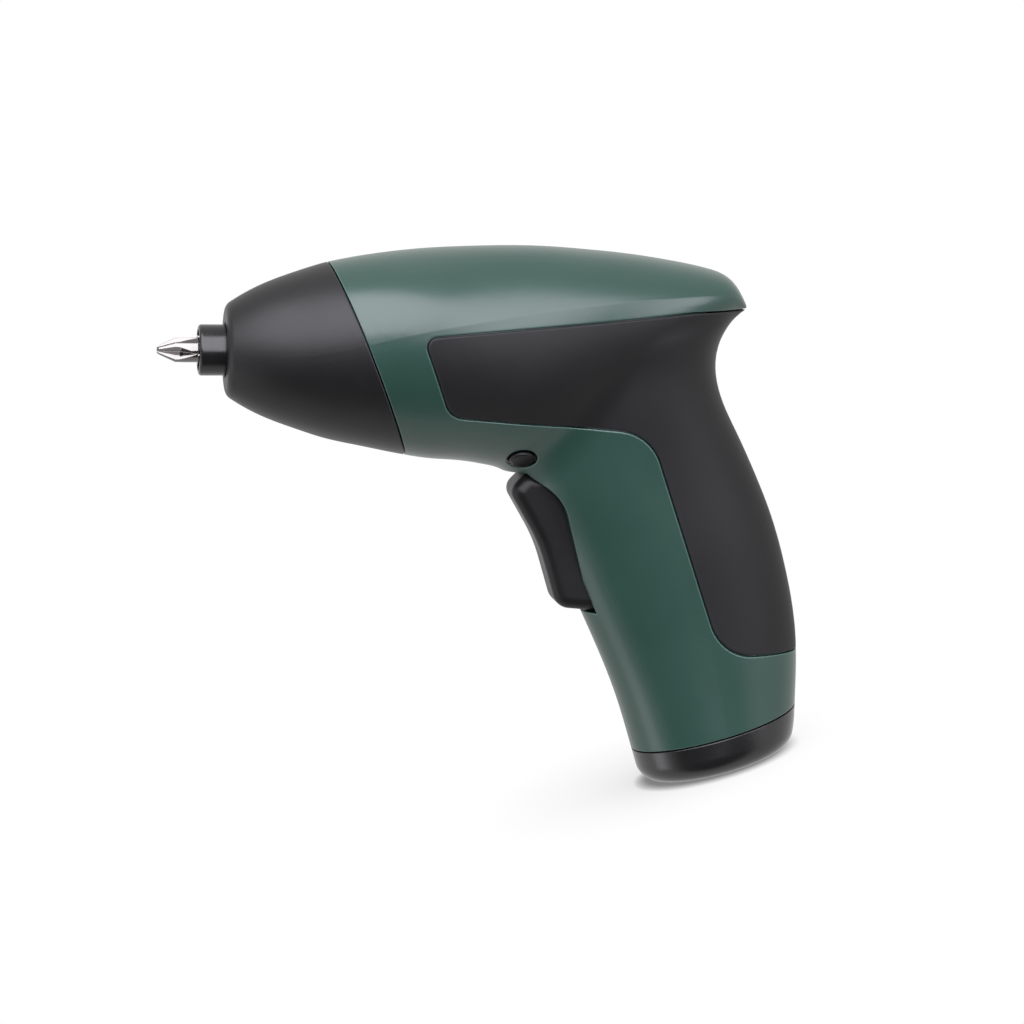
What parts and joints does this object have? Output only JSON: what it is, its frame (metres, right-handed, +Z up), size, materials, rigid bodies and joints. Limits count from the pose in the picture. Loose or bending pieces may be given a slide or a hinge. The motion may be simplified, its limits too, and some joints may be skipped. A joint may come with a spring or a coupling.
{
  "type": "electric screwdriver",
  "caption": "Pistol-grip cordless screwdriver with a green housing, soft dark grips, black nose, trigger, direction button and a bit held in a turning collar.",
  "frame": {"origin": "on the drive axis, where the bit collar leaves the nose face", "axes": "+X along the drive axis from the nose to the tail, +Y to the tool's right side, +Z up"},
  "size_m": [0.157, 0.0484, 0.1309],
  "materials": {
    "housing_green": "satin moulded plastic with a fine grain",
    "grip_rubber": "soft matte rubber",
    "nose_black": "fine matte moulded plastic",
    "cap_black": "fine matte moulded plastic",
    "collar_black": "black oxide steel",
    "bit_steel": "bright ground steel",
    "trigger_black": "satin plastic",
    "button_black": "satin plastic",
    "gear_steel": "sintered steel",
    "case_nylon": "glass-filled nylon",
    "motor_steel": "zinc-plated steel",
    "magnet_dark": "sintered ferrite",
    "rotor_iron": "laminated iron with lacquered copper",
    "bush_bronze": "sintered bronze",
    "switch_plastic": "moulded plastic",
    "board_green": "lacquered board",
    "cell_wrap": "plastic-wrapped cell",
    "contact_metal": "plated contact metal",
    "screw_steel": "dark plated steel"
  },
  "bodies": {
    "root": {"left_housing": "housing_green", "right_housing": "housing_green", "left_grip": "grip_rubber", "right_grip": "grip_rubber", "nose_cone": "nose_black", "base_cap": "cap_black", "housing_screws": "screw_steel", "gear_case": "case_nylon", "motor_plate": "motor_steel", "motor_can": "motor_steel", "motor_end_bell": "switch_plastic", "motor_magnets": "magnet_dark", "spindle_bush": "bush_bronze", "trigger_pin": "screw_steel", "trigger_spring": "gear_steel", "switch_body": "switch_plastic", "circuit_board": "board_green", "battery_cell": "cell_wrap", "battery_tabs": "contact_metal", "charge_contacts": "contact_metal"},
    "motor_rotor": {"motor_armature": "rotor_iron", "motor_shaft": "gear_steel", "motor_pinion": "bush_bronze"},
    "first_stage": {"first_carrier": "gear_steel", "first_planet_pins": "gear_steel"},
    "spindle": {"bit_holder": "collar_black", "output_carrier": "gear_steel", "output_planet_pins": "gear_steel", "bit_magnet": "magnet_dark", "spindle_clip": "gear_steel"},
    "bit": {"screwdriver_bit": "bit_steel"},
    "trigger": {"trigger": "trigger_black"},
    "direction": {"direction_button": "button_black"},
    "first_planet_a": {"first_planet_a": "gear_steel"},
    "first_planet_b": {"first_planet_b": "gear_steel"},
    "first_planet_c": {"first_planet_c": "gear_steel"},
    "second_planet_a": {"second_planet_a": "gear_steel"},
    "second_planet_b": {"second_planet_b": "gear_steel"},
    "second_planet_c": {"second_planet_c": "gear_steel"}
  },
  "joints": [
    {"name": "motor_spin", "type": "hinge", "parent": "root", "child": "motor_rotor", "pos_m": [0.06, 0, 0], "axis": [1, 0, 0], "continuous": true},
    {"name": "first_stage_spin", "type": "hinge", "parent": "root", "child": "first_stage", "pos_m": [0.035, 0, 0], "axis": [1, 0, 0], "continuous": true},
    {"name": "spindle_spin", "type": "hinge", "parent": "root", "child": "spindle", "pos_m": [0, 0, 0], "axis": [1, 0, 0], "continuous": true},
    {"name": "bit_pull", "type": "slide", "parent": "spindle", "child": "bit", "axis": [-1, 0, 0], "range_m": [0, 0.016]},
    {"name": "trigger_pull", "type": "hinge", "parent": "root", "child": "trigger", "pos_m": [0.082, 0, -0.0326], "axis": [0, -1, 0], "range_deg": [0, 6], "stiffness_Nm_per_rad": 0.6, "springref_deg": -2.86, "deforming": ["trigger_spring"]},
    {"name": "direction_slide", "type": "slide", "parent": "root", "child": "direction", "axis": [0, 1, 0], "range_m": [-0.002, 0.002]},
    {"name": "first_planet_a_spin", "type": "hinge", "parent": "first_stage", "child": "first_planet_a", "pos_m": [0.0399, 0, 0.0084], "axis": [1, 0, 0], "continuous": true},
    {"name": "first_planet_b_spin", "type": "hinge", "parent": "first_stage", "child": "first_planet_b", "pos_m": [0.0399, -0.00727, -0.0042], "axis": [1, 0, 0], "continuous": true},
    {"name": "first_planet_c_spin", "type": "hinge", "parent": "first_stage", "child": "first_planet_c", "pos_m": [0.0399, 0.00727, -0.0042], "axis": [1, 0, 0], "continuous": true},
    {"name": "second_planet_a_spin", "type": "hinge", "parent": "spindle", "child": "second_planet_a", "pos_m": [0.0296, 0, 0.0084], "axis": [1, 0, 0], "continuous": true},
    {"name": "second_planet_b_spin", "type": "hinge", "parent": "spindle", "child": "second_planet_b", "pos_m": [0.0296, -0.00727, -0.0042], "axis": [1, 0, 0], "continuous": true},
    {"name": "second_planet_c_spin", "type": "hinge", "parent": "spindle", "child": "second_planet_c", "pos_m": [0.0296, 0.00727, -0.0042], "axis": [1, 0, 0], "continuous": true}
  ],
  "couplings": [
    {"joint": "motor_spin", "follows": "spindle_spin", "ratio": 28.444},
    {"joint": "first_stage_spin", "follows": "spindle_spin", "ratio": 5.3333},
    {"joint": "first_planet_a_spin", "follows": "spindle_spin", "ratio": -13.867},
    {"joint": "first_planet_b_spin", "follows": "spindle_spin", "ratio": -13.867},
    {"joint": "first_planet_c_spin", "follows": "spindle_spin", "ratio": -13.867},
    {"joint": "second_planet_a_spin", "follows": "spindle_spin", "ratio": -2.6},
    {"joint": "second_planet_b_spin", "follows": "spindle_spin", "ratio": -2.6},
    {"joint": "second_planet_c_spin", "follows": "spindle_spin", "ratio": -2.6}
  ]
}
